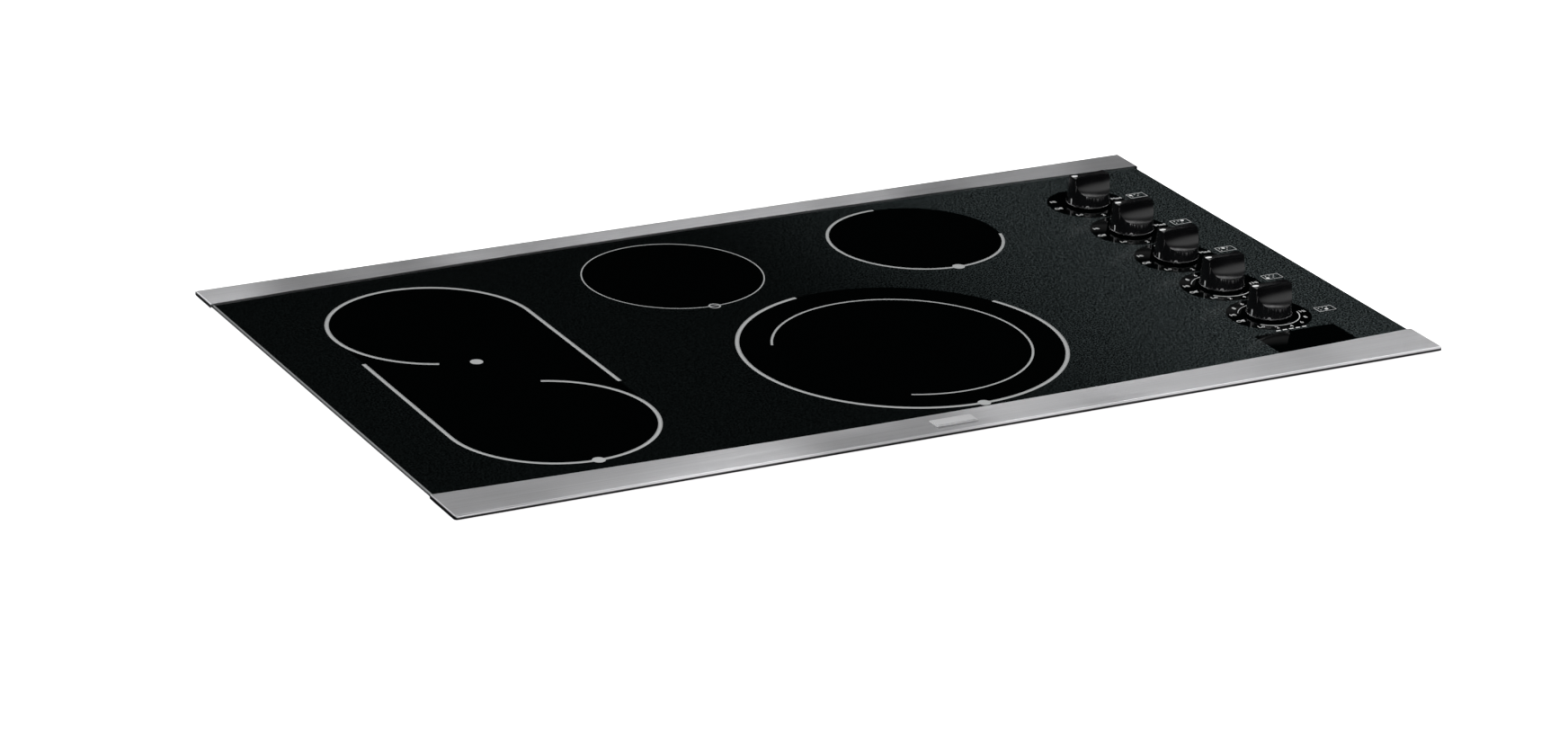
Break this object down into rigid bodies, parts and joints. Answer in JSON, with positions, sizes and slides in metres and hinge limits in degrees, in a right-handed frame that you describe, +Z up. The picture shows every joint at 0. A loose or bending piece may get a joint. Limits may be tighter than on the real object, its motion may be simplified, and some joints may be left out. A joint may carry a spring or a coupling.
{
  "type": "radiant smoothtop cooktop",
  "caption": "Wide black glass smoothtop with steel front and rear trims, printed cooking zones, push-to-turn knobs along the right side, and a burner box that drops into a worktop.",
  "frame": {"origin": "middle of the underside of the burner box; the worktop's surface is 79 mm above it", "axes": "+X along the width, to the right, where the knobs are; +Y to the rear; +Z up, through the glass"},
  "size_m": [0.93, 0.542, 0.1133],
  "materials": {
    "black_glass": null,
    "brushed_trim": "brushed along its length, satin",
    "badge_steel": "fine satin, blank",
    "seal_foam": "closed-cell foam",
    "galvanised_sheet": "galvanised steel sheet with a faint spangle",
    "pan_sheet": "aluminised deep-drawn sheet",
    "spring_steel": "tempered strip and wire",
    "insulation": "pressed microporous insulation, chalky",
    "ribbon_alloy": "oxidised resistance ribbon",
    "ceramic": "unglazed steatite ceramic",
    "switch_plastic": "moulded phenolic",
    "terminal_brass": "plain",
    "lamp_housing": "white moulded",
    "lamp_lens": "clear red neon lamps",
    "zinc_casting": "zinc die casting",
    "wire_insulation": "heat-resistant sleeving",
    "zinc_screw": "zinc-plated",
    "knob_black": "glossy black moulded",
    "shaft_steel": "turned",
    "collar_plastic": "natural acetal"
  },
  "bodies": {
    "cooktop": {"glass_top": "black_glass", "front_trim": "brushed_trim", "rear_trim": "brushed_trim", "trim_badge": "badge_steel", "worktop_seal": "seal_foam", "burner_box": "galvanised_sheet", "glass_brackets": "galvanised_sheet", "support_rails": "galvanised_sheet", "element_springs": "spring_steel", "limiters": "ceramic", "control_bracket": "galvanised_sheet", "switch_bodies": "switch_plastic", "brass_terminals": "terminal_brass", "indicator_housing": "lamp_housing", "indicator_lamps": "lamp_lens", "terminal_block": "switch_plastic", "cable_bushing": "zinc_casting", "wiring_harness": "wire_insulation", "hold_down_brackets": "galvanised_sheet", "clamp_screws": "zinc_screw", "box_screws": "zinc_screw", "left_rear_pan": "pan_sheet", "left_rear_insulation": "insulation", "left_rear_ribbon": "ribbon_alloy", "bridge_pan": "pan_sheet", "bridge_insulation": "insulation", "bridge_ribbon": "ribbon_alloy", "left_front_pan": "pan_sheet", "left_front_insulation": "insulation", "left_front_ribbon": "ribbon_alloy", "warming_pan": "pan_sheet", "warming_insulation": "insulation", "warming_ribbon": "ribbon_alloy", "power_pan": "pan_sheet", "power_insulation": "insulation", "power_ribbon": "ribbon_alloy", "right_rear_pan": "pan_sheet", "right_rear_insulation": "insulation", "right_rear_ribbon": "ribbon_alloy", "return_spring_1": "spring_steel", "return_spring_2": "spring_steel", "return_spring_3": "spring_steel", "return_spring_4": "spring_steel", "return_spring_5": "spring_steel"},
    "control_1_push": {"collar_1": "collar_plastic"},
    "control_1": {"knob_1": "knob_black", "shaft_1": "shaft_steel"},
    "control_2_push": {"collar_2": "collar_plastic"},
    "control_2": {"knob_2": "knob_black", "shaft_2": "shaft_steel"},
    "control_3_push": {"collar_3": "collar_plastic"},
    "control_3": {"knob_3": "knob_black", "shaft_3": "shaft_steel"},
    "control_4_push": {"collar_4": "collar_plastic"},
    "control_4": {"knob_4": "knob_black", "shaft_4": "shaft_steel"},
    "control_5_push": {"collar_5": "collar_plastic"},
    "control_5": {"knob_5": "knob_black", "shaft_5": "shaft_steel"}
  },
  "joints": [
    {"name": "control_1_push_in", "type": "slide", "parent": "cooktop", "child": "control_1_push", "axis": [0, 0, -1], "range_m": [0, 0.0014], "stiffness_N_per_m": 1500, "springref_m": -0.003, "deforming": ["return_spring_1"]},
    {"name": "control_1_turn", "type": "hinge", "parent": "control_1_push", "child": "control_1", "pos_m": [0.3694, 0.1642, 0.09], "axis": [0, 0, 1], "continuous": true},
    {"name": "control_2_push_in", "type": "slide", "parent": "cooktop", "child": "control_2_push", "axis": [0, 0, -1], "range_m": [0, 0.0014], "stiffness_N_per_m": 1500, "springref_m": -0.003, "deforming": ["return_spring_2"]},
    {"name": "control_2_turn", "type": "hinge", "parent": "control_2_push", "child": "control_2", "pos_m": [0.3694, 0.0873, 0.09], "axis": [0, 0, 1], "continuous": true},
    {"name": "control_3_push_in", "type": "slide", "parent": "cooktop", "child": "control_3_push", "axis": [0, 0, -1], "range_m": [0, 0.0014], "stiffness_N_per_m": 1500, "springref_m": -0.003, "deforming": ["return_spring_3"]},
    {"name": "control_3_turn", "type": "hinge", "parent": "control_3_push", "child": "control_3", "pos_m": [0.3694, 0.0104, 0.09], "axis": [0, 0, 1], "continuous": true},
    {"name": "control_4_push_in", "type": "slide", "parent": "cooktop", "child": "control_4_push", "axis": [0, 0, -1], "range_m": [0, 0.0014], "stiffness_N_per_m": 1500, "springref_m": -0.003, "deforming": ["return_spring_4"]},
    {"name": "control_4_turn", "type": "hinge", "parent": "control_4_push", "child": "control_4", "pos_m": [0.3694, -0.0665, 0.09], "axis": [0, 0, 1], "range_deg": [-150, 150]},
    {"name": "control_5_push_in", "type": "slide", "parent": "cooktop", "child": "control_5_push", "axis": [0, 0, -1], "range_m": [0, 0.0014], "stiffness_N_per_m": 1500, "springref_m": -0.003, "deforming": ["return_spring_5"]},
    {"name": "control_5_turn", "type": "hinge", "parent": "control_5_push", "child": "control_5", "pos_m": [0.3694, -0.1434, 0.09], "axis": [0, 0, 1], "range_deg": [-150, 150]}
  ]
}
